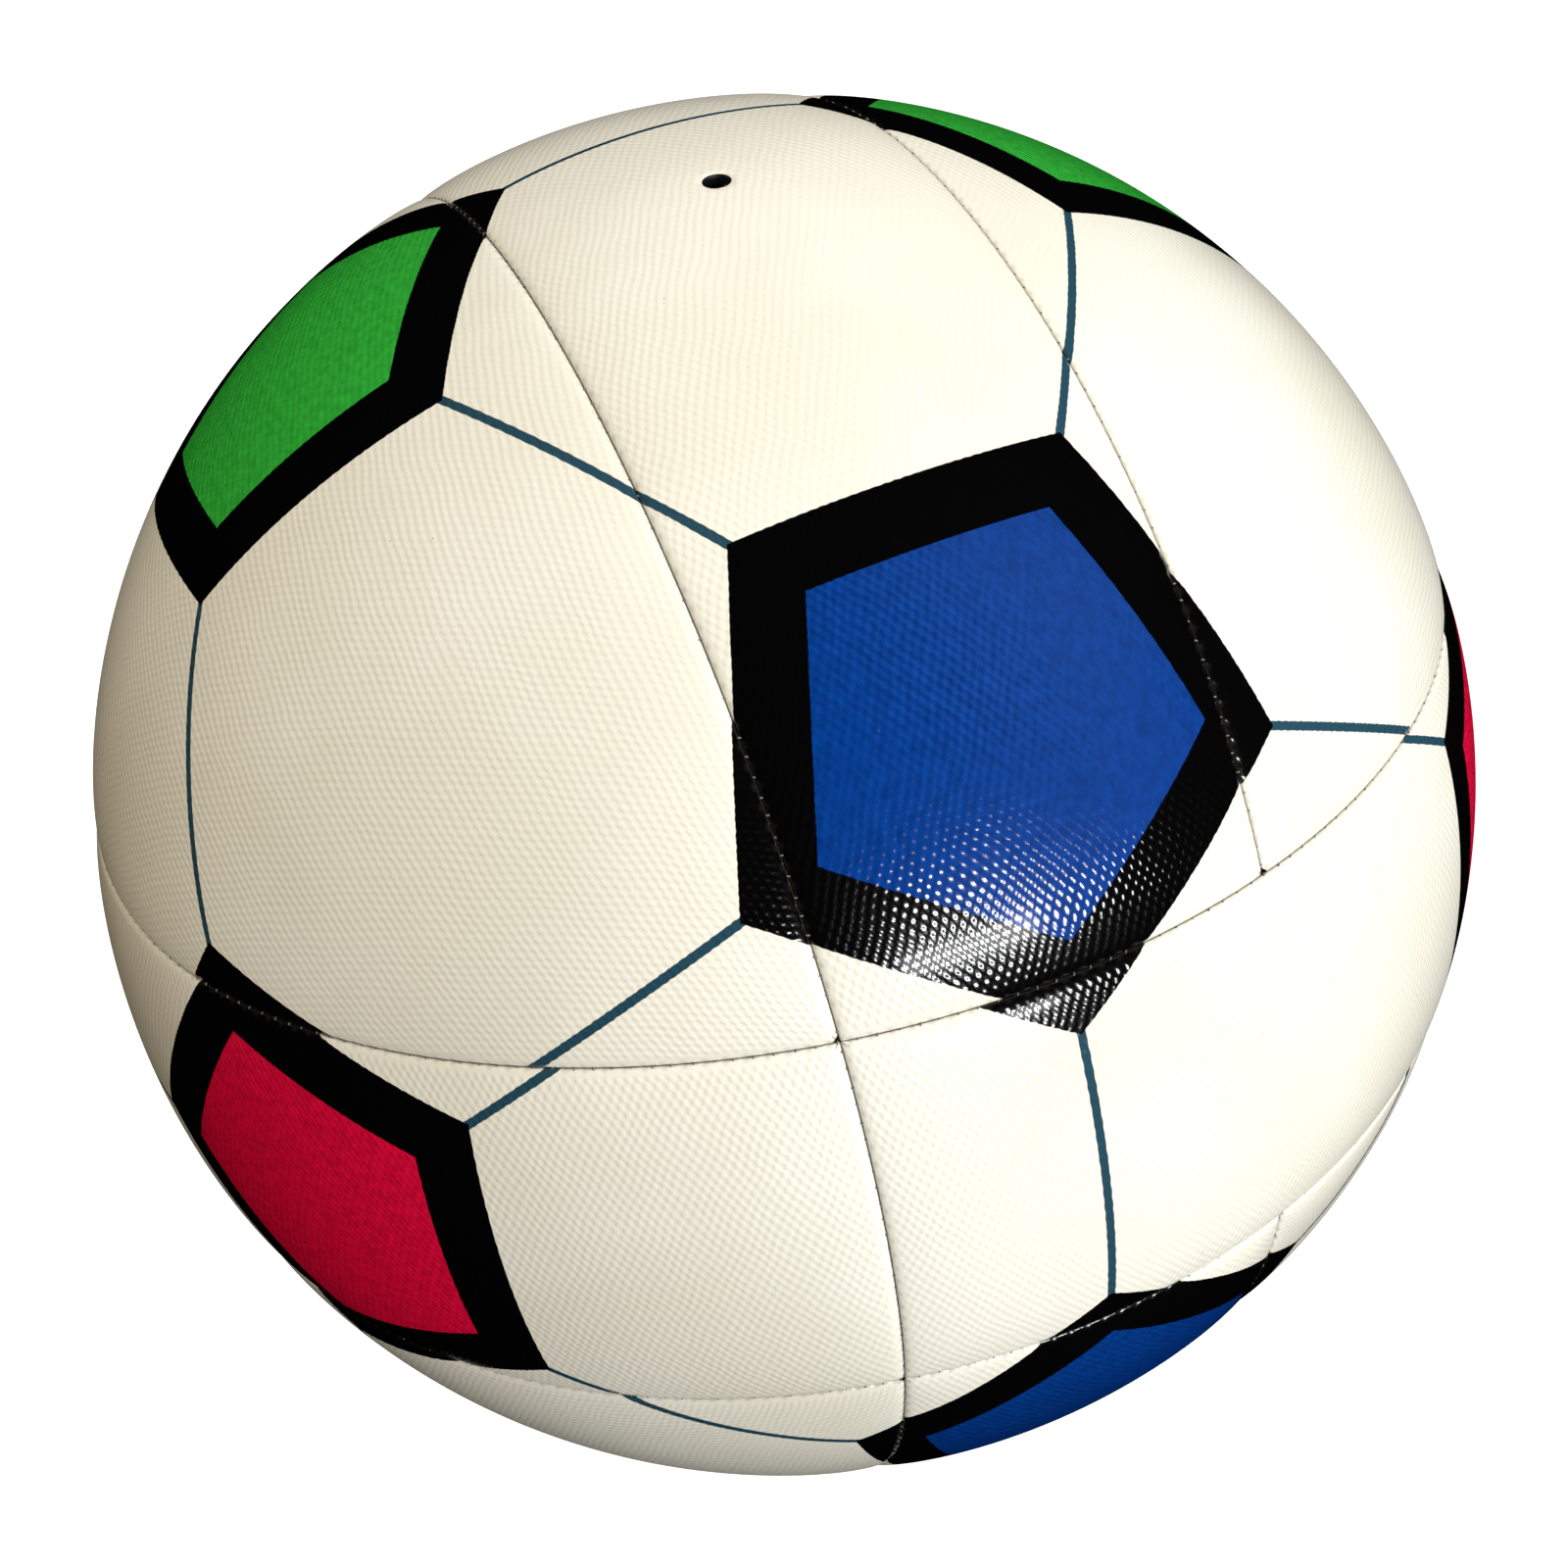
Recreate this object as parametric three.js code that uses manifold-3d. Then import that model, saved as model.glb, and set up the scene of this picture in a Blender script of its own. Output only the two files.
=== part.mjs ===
// A stitched match ball of ten panels: a belt of four panels round the equator, and a cap of three
// strips above and below it. Each panel has a cover, a foam backing and a textile lining. Inside
// them are the bladder, its valve and its patches. Millimetres, +Z up, origin at the ball's centre.
import * as THREE from 'three';
import { mergeVertices } from 'three/addons/utils/BufferGeometryUtils.js';
import Module from 'manifold-3d';

// ---- Driving dimensions ----
const BALL_RADIUS = 110;        // size 5: 220 mm across, 691 mm round
const SEAM_OFFSET = 29.5;       // from the centre to the plane of each seam, at the ball's surface
const COVER = { outer: 110, inner: 108.4, gap: 0.2 };
const FOAM = { outer: 108, inner: 105, gap: 1.2 };
const LINING = { outer: 104.6, inner: 103.4, gap: 0.5 };
const BLADDER = { outer: 100.8, inner: 99.6 };
const BORDER = 3;               // width of the strip that rolls down into a seam
const ROLL_DEPTH = 1;           // how far the cover's edge lies below its surface
const TIP_WIDTH = 0.6;          // how far each side strip's pointed end is cut back

const THREAD_RADIUS = 0.6;
const THREAD_DEPTH = 3;         // thread's centre below the ball's surface
const THREAD_CLEARANCE = 0.4;   // between a thread's end and the thread that it meets
const THREAD_SIDES = 6;

const VALVE_TILT = THREE.MathUtils.degToRad(12);   // from +Z towards the front, -Y
const COVER_HOLE_RADIUS = 2.5;
const BACKING_HOLE_RADIUS = 4.8;
const BLADDER_HOLE_RADIUS = 4.6;
const STEM = { radius: 4.2, bore: 2.3, top: 107.1, bottom: 88 };
const FLANGE = { radius: 11, outer: 98.6, inner: 97.4 };
const CORE = { radius: 1.95, top: 106.6, bottom: 89.5, needleRadius: 0.6, needleDepth: 11 };
const PATCH = { radius: 16, hole: 4.9, outer: 101.8, inner: 101.2 };
const ROUND_SIDES = 20;

// Grid steps along and across each panel, without its rolled border.
const BELT_STEPS = { u: 8, v: 2 };
const MIDDLE_STEPS = { u: 2, v: 12 };
const SIDE_STEPS = { u: 6, v: 12 };

const QUARTER_TURN = Math.PI / 2;
const SEAM = SEAM_OFFSET / BALL_RADIUS;
const THREAD_PATH_RADIUS = BALL_RADIUS - THREAD_DEPTH;

const MATERIALS = {
  cover: { color: 0xefebe3, roughness: 0.42, metalness: 0 },
  foam: { color: 0xe3d9b4, roughness: 0.9, metalness: 0 },
  lining: { color: 0xc9ccd0, roughness: 0.95, metalness: 0 },
  thread: { color: 0xdcd8cf, roughness: 0.7, metalness: 0 },
  bladder: { color: 0x1b1b1d, roughness: 0.55, metalness: 0 },
  valve: { color: 0x141416, roughness: 0.45, metalness: 0 },
  core: { color: 0x4a4c50, roughness: 0.5, metalness: 0 },
  patch: { color: 0x3a3d42, roughness: 0.8, metalness: 0 },
};

const wasm = await Module();
wasm.setup();

const ball = new THREE.Group();

function addPiece(name, look, geometry) {
  const mesh = new THREE.Mesh(geometry, new THREE.MeshStandardMaterial(MATERIALS[look]));
  mesh.name = name;
  ball.add(mesh);
  return mesh;
}

// ---- Booleans ----
function onlyPositions(geometry) {
  const plain = geometry.clone();
  plain.deleteAttribute('normal');
  plain.deleteAttribute('uv');
  return mergeVertices(plain, 1e-4);
}

function toSolid(geometry) {
  const closed = onlyPositions(geometry);
  const mesh = new wasm.Mesh({
    numProp: 3,
    vertProperties: new Float32Array(closed.attributes.position.array),
    triVerts: new Uint32Array(closed.index.array),
  });
  return new wasm.Manifold(mesh);
}

function toGeometry(solid) {
  const mesh = solid.getMesh();
  const geometry = new THREE.BufferGeometry();
  geometry.setAttribute('position', new THREE.BufferAttribute(mesh.vertProperties, 3));
  geometry.setIndex(new THREE.BufferAttribute(mesh.triVerts, 1));
  geometry.computeVertexNormals();
  return geometry;
}

// A round hole along the valve's line, through everything that lies above the ball's centre.
function cutValveHole(geometry, radius) {
  const drill = new THREE.CylinderGeometry(radius, radius, BALL_RADIUS, ROUND_SIDES);
  drill.translate(0, BALL_RADIUS / 2 + BLADDER.inner / 2, 0);
  drill.applyMatrix4(valveFrame());
  return toGeometry(toSolid(geometry).subtract(toSolid(drill)));
}

// Turns a shape that stands along +Y so that it stands along the valve's line.
function valveFrame() {
  return new THREE.Matrix4().makeRotationX(QUARTER_TURN + VALVE_TILT);
}

// ---- Panels ----
// A grid line that isn't on the panel's edge keeps the same direction in every layer, so that the
// layers nest. limit(gap) is the half-angle that the panel covers when its edge keeps that gap.
function lineAngle(line, limit) {
  if (line.atEdge) {
    return line.share * limit(line.gap);
  }
  const whole = limit(0);
  const insideBorder = Math.max(whole - BORDER / BALL_RADIUS, 0.6 * whole);
  return line.share * Math.min(insideBorder, 0.98 * limit(line.gap));
}

function beltDirection(u, v) {
  const latitude = lineAngle(v, (gap) => Math.asin(SEAM - gap));
  const ring = Math.cos(latitude);
  const start = (gap) => Math.asin((gap - SEAM) / ring);
  const end = (gap) => Math.acos((SEAM + gap) / ring);
  const middle = (start(0) + end(0)) / 2;
  const angle = middle + lineAngle(u, (gap) => (end(gap) - start(gap)) / 2);
  return new THREE.Vector3(ring * Math.sin(angle), -ring * Math.cos(angle), Math.sin(latitude));
}

function middleDirection(u, v) {
  const lean = lineAngle(u, (gap) => Math.asin(SEAM - gap));
  const ring = Math.cos(lean);
  const angle = lineAngle(v, (gap) => Math.acos((SEAM + gap) / ring));
  return new THREE.Vector3(Math.sin(lean), ring * Math.sin(angle), ring * Math.cos(angle));
}

function sideDirection(u, v) {
  const tip = TIP_WIDTH / BALL_RADIUS;
  const reach = lineAngle(v, (gap) => Math.acos(Math.SQRT2 * (SEAM + gap) + tip));
  const ring = Math.cos(reach);
  const halfway = QUARTER_TURN / 2;
  const angle = halfway + lineAngle(u, (gap) => halfway - Math.asin((SEAM + gap) / ring));
  return new THREE.Vector3(ring * Math.sin(angle), Math.sin(reach), ring * Math.cos(angle));
}

// A slab of one layer: a flat box whose grid is bent onto the ball. Only the cover has a border
// that rolls down into the seam, so only its grid has the two extra lines.
function panelSlab(direction, steps, layer) {
  const rolled = layer === COVER;
  const extra = rolled ? 2 : 0;
  const count = { u: steps.u + extra, v: steps.v + extra };
  const slab = onlyPositions(new THREE.BoxGeometry(2, 2, 1, count.u, count.v, 1));
  const lineOf = (value, along) => {
    const atEdge = Math.abs(value) > 0.9999;
    const share = atEdge ? Math.sign(value) : value * count[along] / steps[along];
    return { atEdge, share, gap: layer.gap / BALL_RADIUS };
  };
  const position = slab.attributes.position;
  for (let i = 0; i < position.count; i += 1) {
    const u = lineOf(position.getX(i), 'u');
    const v = lineOf(position.getY(i), 'v');
    const isOuter = position.getZ(i) > 0;
    const drop = rolled && isOuter && (u.atEdge || v.atEdge) ? ROLL_DEPTH : 0;
    const radius = (isOuter ? layer.outer : layer.inner) - drop;
    const point = direction(u, v).multiplyScalar(radius);
    position.setXYZ(i, point.x, point.y, point.z);
  }
  slab.computeVertexNormals();
  return slab;
}

const BELT_SIDES = ['front', 'right', 'back', 'left'];
const CAP_TURNS = { top: 0, bottom: Math.PI };
const LEAF_TURNS = { right: 0, left: Math.PI };
const LAYERS = {
  cover: COVER,
  foam: FOAM,
  lining: LINING,
};

function addLayer(kind) {
  const layer = LAYERS[kind];
  BELT_SIDES.forEach((side, index) => {
    const panel = addPiece(`${kind}_belt_${side}`, kind, panelSlab(beltDirection, BELT_STEPS, layer));
    panel.rotation.z = index * QUARTER_TURN;
  });
  Object.entries(CAP_TURNS).forEach(([cap, capTurn]) => {
    let middle = panelSlab(middleDirection, MIDDLE_STEPS, layer);
    if (cap === 'top') {
      middle = cutValveHole(middle, kind === 'cover' ? COVER_HOLE_RADIUS : BACKING_HOLE_RADIUS);
    }
    addPiece(`${kind}_${cap}_middle`, kind, middle).rotation.y = capTurn;
    Object.entries(LEAF_TURNS).forEach(([side, leafTurn]) => {
      const leaf = addPiece(`${kind}_${cap}_${side}`, kind, panelSlab(sideDirection, SIDE_STEPS, layer));
      // The turn about X carries the leaf to the lower cap, and the turn about Z to the other side.
      leaf.rotation.set(capTurn, 0, leafTurn, 'ZXY');
    });
  });
}

// ---- Seam threads ----
// Each seam's thread runs in the channel between the panels' backings, below the covers' edges.
const THREAD_RING = THREAD_PATH_RADIUS * Math.sqrt(1 - SEAM * SEAM);
const THREAD_OFFSET = THREAD_PATH_RADIUS * SEAM;

function threadArc(startAngle, endAngle, steps) {
  const section = new THREE.Shape();
  section.absarc(0, 0, THREAD_RADIUS, 0, 2 * Math.PI);
  const points = [];
  for (let i = 0; i <= steps; i += 1) {
    const angle = THREE.MathUtils.lerp(startAngle, endAngle, i / steps);
    const across = THREAD_RING * Math.sin(angle);
    const up = THREAD_RING * Math.cos(angle);
    points.push(new THREE.Vector3(THREAD_OFFSET, across, up));
  }
  const extrudePath = new THREE.CatmullRomCurve3(points);
  const curveSegments = THREAD_SIDES / 2;   // a full circle gets two sides for each of these
  return new THREE.ExtrudeGeometry(section, { steps, curveSegments, bevelEnabled: false, extrudePath });
}

function addThreads() {
  const ringSegments = 36;
  Object.keys(CAP_TURNS).forEach((cap) => {
    const ring = new THREE.TorusGeometry(THREAD_RING, THREAD_RADIUS, THREAD_SIDES, ringSegments);
    const thread = addPiece(`thread_belt_${cap}`, 'thread', ring);
    thread.position.z = cap === 'top' ? THREAD_OFFSET : -THREAD_OFFSET;
  });

  const endGap = 2 * THREAD_RADIUS + THREAD_CLEARANCE;
  const capEnd = Math.acos((THREAD_OFFSET + endGap) / THREAD_RING);
  const capSteps = 16;
  Object.entries(CAP_TURNS).forEach(([cap, capTurn]) => {
    Object.entries(LEAF_TURNS).forEach(([side, leafTurn]) => {
      const thread = addPiece(`thread_${cap}_${side}`, 'thread', threadArc(-capEnd, capEnd, capSteps));
      thread.rotation.set(capTurn, 0, leafTurn, 'ZXY');
    });
  });

  const jointHalf = Math.asin((THREAD_OFFSET - endGap) / THREAD_RING);
  const jointSteps = 4;
  BELT_SIDES.forEach((side, index) => {
    const arc = threadArc(QUARTER_TURN - jointHalf, QUARTER_TURN + jointHalf, jointSteps);
    // Half a turn about Z carries the joint from the back right to the front left.
    addPiece(`thread_joint_${side}`, 'thread', arc).rotation.z = (index + 2) * QUARTER_TURN;
  });
}

// ---- Bladder, valve and patches ----
// Points of an arc about the ball's centre, in the half-plane that a lathe turns about the valve's
// line: x is the distance from the line and y the distance along it.
function arcPoints(radius, from, to, steps) {
  const points = [];
  for (let i = 0; i <= steps; i += 1) {
    const x = THREE.MathUtils.lerp(from, to, i / steps);
    points.push(new THREE.Vector2(x, Math.sqrt(radius * radius - x * x)));
  }
  return points;
}

function latheOnValveLine(profile) {
  const geometry = onlyPositions(new THREE.LatheGeometry(profile, ROUND_SIDES));
  geometry.applyMatrix4(valveFrame());
  geometry.computeVertexNormals();
  return geometry;
}

function bladderShell() {
  const widthSegments = 32;
  const heightSegments = 16;
  const outer = new THREE.SphereGeometry(BLADDER.outer, widthSegments, heightSegments);
  const inner = new THREE.SphereGeometry(BLADDER.inner, widthSegments, heightSegments);
  const shell = toGeometry(toSolid(outer).subtract(toSolid(inner)));
  return cutValveHole(shell, BLADDER_HOLE_RADIUS);
}

function stemProfile() {
  const flangeSteps = 2;
  return [
    new THREE.Vector2(STEM.bore, STEM.bottom),
    new THREE.Vector2(STEM.radius, STEM.bottom),
    ...arcPoints(FLANGE.inner, STEM.radius, FLANGE.radius, flangeSteps),
    ...arcPoints(FLANGE.outer, FLANGE.radius, STEM.radius, flangeSteps),
    new THREE.Vector2(STEM.radius, STEM.top),
    new THREE.Vector2(STEM.bore, STEM.top),
    new THREE.Vector2(STEM.bore, STEM.bottom),
  ];
}

function coreProfile() {
  const needleEnd = CORE.top - CORE.needleDepth;
  return [
    new THREE.Vector2(0, CORE.bottom),
    new THREE.Vector2(CORE.radius, CORE.bottom),
    new THREE.Vector2(CORE.radius, CORE.top),
    new THREE.Vector2(CORE.needleRadius, CORE.top),
    new THREE.Vector2(CORE.needleRadius, needleEnd),
    new THREE.Vector2(0, needleEnd),
  ];
}

function patchProfile(hole) {
  const patchSteps = 3;
  const lower = arcPoints(PATCH.inner, hole, PATCH.radius, patchSteps);
  const upper = arcPoints(PATCH.outer, PATCH.radius, hole, patchSteps);
  const closing = hole > 0 ? [lower[0].clone()] : [];
  return [...lower, ...upper, ...closing];
}

function addBladderAndValve() {
  addPiece('bladder', 'bladder', bladderShell());
  addPiece('valve_stem', 'valve', latheOnValveLine(stemProfile()));
  addPiece('valve_core', 'core', latheOnValveLine(coreProfile()));
  addPiece('valve_patch', 'patch', latheOnValveLine(patchProfile(PATCH.hole)));
  // Half a turn about X carries the patch to the far side of the ball from the valve.
  addPiece('balance_patch', 'patch', latheOnValveLine(patchProfile(0))).rotation.x = Math.PI;
}

Object.keys(LAYERS).forEach(addLayer);
addThreads();
addBladderAndValve();

export default ball;
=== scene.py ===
"""The looks of a stitched match ball: ten printed cover panels, the thread in their seams, and the
foam, lining, bladder, valve and patches under them, on a pale floor in a soft studio light.
Lengths are in millimetres until a mesh is made, and then in metres."""
import itertools
import math

import bmesh
import bpy
import numpy as np
from mathutils import Matrix, Vector


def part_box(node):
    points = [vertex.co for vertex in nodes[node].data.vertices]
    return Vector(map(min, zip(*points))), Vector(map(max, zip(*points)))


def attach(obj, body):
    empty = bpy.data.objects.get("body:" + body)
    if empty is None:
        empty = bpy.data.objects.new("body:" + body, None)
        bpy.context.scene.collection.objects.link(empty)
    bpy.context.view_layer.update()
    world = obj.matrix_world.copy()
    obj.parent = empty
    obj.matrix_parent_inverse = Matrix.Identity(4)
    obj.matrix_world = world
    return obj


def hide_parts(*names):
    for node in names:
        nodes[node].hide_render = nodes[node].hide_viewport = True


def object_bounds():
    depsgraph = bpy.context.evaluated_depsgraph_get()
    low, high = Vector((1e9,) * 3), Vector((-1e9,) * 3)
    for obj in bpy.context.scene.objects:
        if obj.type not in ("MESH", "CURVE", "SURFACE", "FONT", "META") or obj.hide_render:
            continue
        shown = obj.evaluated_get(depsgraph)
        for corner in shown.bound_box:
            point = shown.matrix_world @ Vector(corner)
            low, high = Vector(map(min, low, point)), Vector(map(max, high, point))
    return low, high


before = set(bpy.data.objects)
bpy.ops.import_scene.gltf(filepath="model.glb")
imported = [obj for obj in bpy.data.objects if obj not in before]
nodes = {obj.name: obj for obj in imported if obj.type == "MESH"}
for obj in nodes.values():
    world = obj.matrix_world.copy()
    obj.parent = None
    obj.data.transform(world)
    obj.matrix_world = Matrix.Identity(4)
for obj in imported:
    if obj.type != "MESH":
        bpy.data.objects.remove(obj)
cad_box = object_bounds()
MM = 0.001

# ---- Sizes taken from the frame ----
_, belt_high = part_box("cover_belt_front")
_, cap_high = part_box("cover_top_middle")
BALL_RADIUS = cap_high.z / MM
HALF_GAP = 0.06                      # between a panel's edge and the middle of its seam
CAD_GAP = 0.1982                     # between the CAD's belt and the plane of its seam
SEAM_OFFSET = belt_high.z / MM + CAD_GAP
VALVE_TILT = math.radians(12)        # from straight up towards the front

COVER_THICKNESS = 1.6
EDGE_THICKNESS = 0.25
ROLL = ((0.35, 0.3), (0.6, 4.0))     # depth that the cover sinks at a seam, and how far that reaches
HOLE_RADIUS = 1.9
THREAD_DEPTH = 3.0
THREAD_RADIUS = 0.6
STITCH_PITCH = 2.5
STITCH_DEPTH = 0.85
STITCH_RADIUS = 0.11
STITCH_REACH = 0.26

SEAM = SEAM_OFFSET / BALL_RADIUS
SEAM_RING = math.sqrt(1 - SEAM ** 2)
CAP_HALF_ANGLE = math.acos(SEAM / SEAM_RING)
JOINT_HALF_ANGLE = math.asin(SEAM / SEAM_RING)

# ---- Mesh helpers ----
ROWS_TO_VALVE = 29                   # so that a row of the grid passes through the valve's hole
GRID_STEP = VALVE_TILT * BALL_RADIUS / ROWS_TO_VALVE
EDGE_LINES = (0, 0.1, 0.22, 0.38, 0.6, 0.9, 1.3, 1.85, 2.5, 3.2, 3.95)
EDGE_ZONE = EDGE_LINES[-1]
BACK_STEP = 9.0                      # below this half width, the back has no inner lines
BACK_SPACING = 1.4 * BACK_STEP
BACK_INSET = 4.0


def fine_lines(half):
    """Places from -1 to 1 over a width of 2 * half mm, closer together near both ends."""
    if half <= EDGE_ZONE + GRID_STEP:
        ends = [half - e for e in EDGE_LINES if e < 0.85 * half]
        inner = [0.0]
    else:
        count = int((half - EDGE_ZONE) / GRID_STEP)
        stretch = (half - count * GRID_STEP) / EDGE_ZONE
        ends = [half - stretch * e for e in EDGE_LINES[:-1]]
        inner = [n * GRID_STEP for n in range(-count, count + 1)]
    return np.array(sorted([-e for e in ends] + inner + ends)) / half


def back_lines(half, centre=0.0):
    """Places from -1 to 1 for the coarse back of a panel, evenly round centre."""
    inset = min(BACK_INSET, 0.4 * half)
    if half < BACK_STEP:
        return np.array([-1, 1]) * (half - inset) / half
    steps = [(n + 0.5) * BACK_SPACING for n in range(int(2 * half / BACK_STEP))]
    places = [centre + s for s in steps] + [centre - s for s in steps]
    return np.array(sorted(p for p in places if abs(p) <= half - inset)) / half


def bridge(a, places_a, b, places_b):
    """Faces between two lines of vertices, which are matched by their places along the line."""
    if len(a) == len(b):
        return [(a[i], a[i + 1], b[i + 1], b[i]) for i in range(len(a) - 1)]
    faces = []
    i = j = 0
    while i < len(a) - 1 or j < len(b) - 1:
        if j == len(b) - 1 or (i < len(a) - 1 and places_a[i + 1] <= places_b[j + 1]):
            faces.append((a[i], a[i + 1], b[j]))
            i += 1
        else:
            faces.append((a[i], b[j + 1], b[j]))
            j += 1
    return faces


def bridge_rings(a, places_a, b, places_b, turn):
    """Faces between two closed lines, whose places go up by turn in one round."""
    return bridge(a + a[:1], places_a + [places_a[0] + turn],
                  b + b[:1], places_b + [places_b[0] + turn])


def outline_of(rows, lines, heights):
    """The rim of a grid of rows, and each vertex's place round it from 0 to 4."""
    def share(values):
        return (np.array(values) - values[0]) / (values[-1] - values[0])
    sides = [
        (list(rows[0]), share(lines[0])),
        ([row[-1] for row in rows], share(heights)),
        (list(rows[-1])[::-1], share(lines[-1])),
        ([row[0] for row in rows][::-1], share(heights)),
    ]
    rim, places = [], []
    for k, (side, along) in enumerate(sides):
        if k >= 2:
            along = 1 - along[::-1]
        rim += side[:-1]
        places += [k + p for p in along[:-1]]
    return rim, places


def new_object(name, points, faces, materials, face_materials=None):
    """A smooth object from points in millimetres, with its faces turned outwards."""
    mesh = bpy.data.meshes.new(name)
    mesh.from_pydata((np.asarray(points) * MM).tolist(), [], faces)
    for material in materials:
        mesh.materials.append(material)
    mesh.polygons.foreach_set("use_smooth", [True] * len(faces))
    if face_materials is not None:
        mesh.polygons.foreach_set("material_index", face_materials)
    tidy = bmesh.new()
    tidy.from_mesh(mesh)
    bmesh.ops.recalc_face_normals(tidy, faces=tidy.faces)
    tidy.to_mesh(mesh)
    tidy.free()
    made = bpy.data.objects.new(name, mesh)
    bpy.context.scene.collection.objects.link(made)
    return made


def add_numbers(made, name, values):
    """Stores three numbers on each vertex, for the material to read."""
    attribute = made.data.attributes.new(name, "FLOAT_VECTOR", "POINT")
    attribute.data.foreach_set("vector", np.asarray(values, np.float32).ravel())


# ---- Seams: each is part of the circle where a plane cuts the ball ----
AXIS = {"right": Vector((1, 0, 0)), "left": Vector((-1, 0, 0)), "back": Vector((0, 1, 0)),
        "front": Vector((0, -1, 0)), "top": Vector((0, 0, 1)), "bottom": Vector((0, 0, -1))}


def seam_arc(normal, middle, half_angle):
    length = 2 * half_angle * SEAM_RING * BALL_RADIUS
    return {"normal": np.array(normal), "middle": np.array(middle),
            "side": np.array(normal.cross(middle)), "half": half_angle,
            "stitches": round(length / STITCH_PITCH)}


SEAMS = {
    "belt_top": seam_arc(AXIS["top"], AXIS["front"], math.pi),
    "belt_bottom": seam_arc(AXIS["bottom"], AXIS["front"], math.pi),
    "joint_front": seam_arc(AXIS["left"], AXIS["front"], JOINT_HALF_ANGLE),
    "joint_right": seam_arc(AXIS["front"], AXIS["right"], JOINT_HALF_ANGLE),
    "joint_back": seam_arc(AXIS["right"], AXIS["back"], JOINT_HALF_ANGLE),
    "joint_left": seam_arc(AXIS["back"], AXIS["left"], JOINT_HALF_ANGLE),
}
for cap, side in itertools.product(("top", "bottom"), ("right", "left")):
    SEAMS[f"{cap}_{side}"] = seam_arc(AXIS[side], AXIS[cap], CAP_HALF_ANGLE)


def seam_points(seam, angles, radius):
    angles = np.asarray(angles)[:, None]
    ring = np.cos(angles) * seam["middle"] + np.sin(angles) * seam["side"]
    return radius * (SEAM * seam["normal"] + SEAM_RING * ring)


def seam_fields(directions):
    """For each direction: how far the cover sinks there, how far the nearest seam is, and which
    stitch of it is the nearest, counted from the seam's start."""
    sink = np.zeros(len(directions))
    nearest = np.full(len(directions), 1e3)
    stitch = np.zeros(len(directions))
    for seam in SEAMS.values():
        angle = np.arctan2(directions @ seam["side"], directions @ seam["middle"])
        away = BALL_RADIUS * np.abs(np.arcsin(directions @ seam["normal"]) - math.asin(SEAM))
        away = np.where(np.abs(angle) <= seam["half"], away, 1e3)
        edge = np.maximum(away - HALF_GAP, 0)
        sink += sum(depth * np.exp(-edge / reach) for depth, reach in ROLL) ** 3
        count = (angle / seam["half"] + 1) / 2 * seam["stitches"]
        stitch = np.where(away < nearest, count, stitch)
        nearest = np.minimum(nearest, away)
    return np.cbrt(sink), nearest, stitch


# ---- Panels ----
def belt_direction(u, v):
    height = v * math.asin(SEAM - HALF_GAP / BALL_RADIUS)
    ring = np.cos(height)
    start = np.arcsin((HALF_GAP / BALL_RADIUS - SEAM) / ring)
    end = np.arccos((SEAM + HALF_GAP / BALL_RADIUS) / ring)
    angle = (start + end) / 2 + u * (end - start) / 2
    sheet = (BALL_RADIUS * (angle - math.pi / 4), BALL_RADIUS * height)
    return np.stack([ring * np.sin(angle), -ring * np.cos(angle), np.sin(height)], -1), sheet


def middle_direction(u, v):
    lean = u * math.asin(SEAM - HALF_GAP / BALL_RADIUS)
    ring = np.cos(lean)
    angle = v * np.arccos((SEAM + HALF_GAP / BALL_RADIUS) / ring)
    return cap_direction(lean, angle)


def cap_direction(lean, angle):
    ring = np.cos(lean)
    sheet = (BALL_RADIUS * lean, BALL_RADIUS * angle)
    return np.stack([np.sin(lean), ring * np.sin(angle), ring * np.cos(angle)], -1), sheet


SIDE_REACH = math.acos(math.sqrt(2) * (SEAM + HALF_GAP / BALL_RADIUS) + 0.6 / BALL_RADIUS)


def side_direction(u, v):
    reach = v * SIDE_REACH
    ring = np.cos(reach)
    turn = math.pi / 4 - np.arcsin((SEAM + HALF_GAP / BALL_RADIUS) / ring)
    angle = math.pi / 4 + u * turn
    place = np.stack([ring * np.sin(angle), np.sin(reach), ring * np.cos(angle)], -1)
    across = place @ np.array([1, 0, -1]) / math.sqrt(2)
    spread = np.hypot(across, place[..., 1])
    stretch = BALL_RADIUS * np.arcsin(np.minimum(spread, 1)) / np.maximum(spread, 1e-9)
    return place, (across * stretch, place[..., 1] * stretch)


def belt_half_width(v):
    return BALL_RADIUS * math.pi / 4


def middle_half_width(v):
    return SEAM_OFFSET


def side_half_width(v):
    ring = math.cos(v * SIDE_REACH)
    turn = math.pi / 4 - math.asin((SEAM + HALF_GAP / BALL_RADIUS) / ring)
    return BALL_RADIUS * ring * turn


SHAPES = {
    "belt": (belt_direction, belt_half_width, SEAM_OFFSET),
    "middle": (middle_direction, middle_half_width, BALL_RADIUS * CAP_HALF_ANGLE),
    "side": (side_direction, side_half_width, BALL_RADIUS * SIDE_REACH),
}

half_turn = {axis: np.array(Matrix.Rotation(math.pi, 3, axis)) for axis in "XYZ"}
PANELS = {
    "top_middle": ("middle", np.eye(3)),
    "bottom_middle": ("middle", half_turn["Y"]),
    "top_right": ("side", np.eye(3)),
    "top_left": ("side", half_turn["Z"]),
    "bottom_right": ("side", half_turn["X"]),
    "bottom_left": ("side", half_turn["Y"]),
}
for turns, side in enumerate(("front", "right", "back", "left")):
    turn = np.array(Matrix.Rotation(turns * math.pi / 2, 3, "Z"))
    PANELS[f"belt_{side}"] = ("belt", turn)

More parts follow.
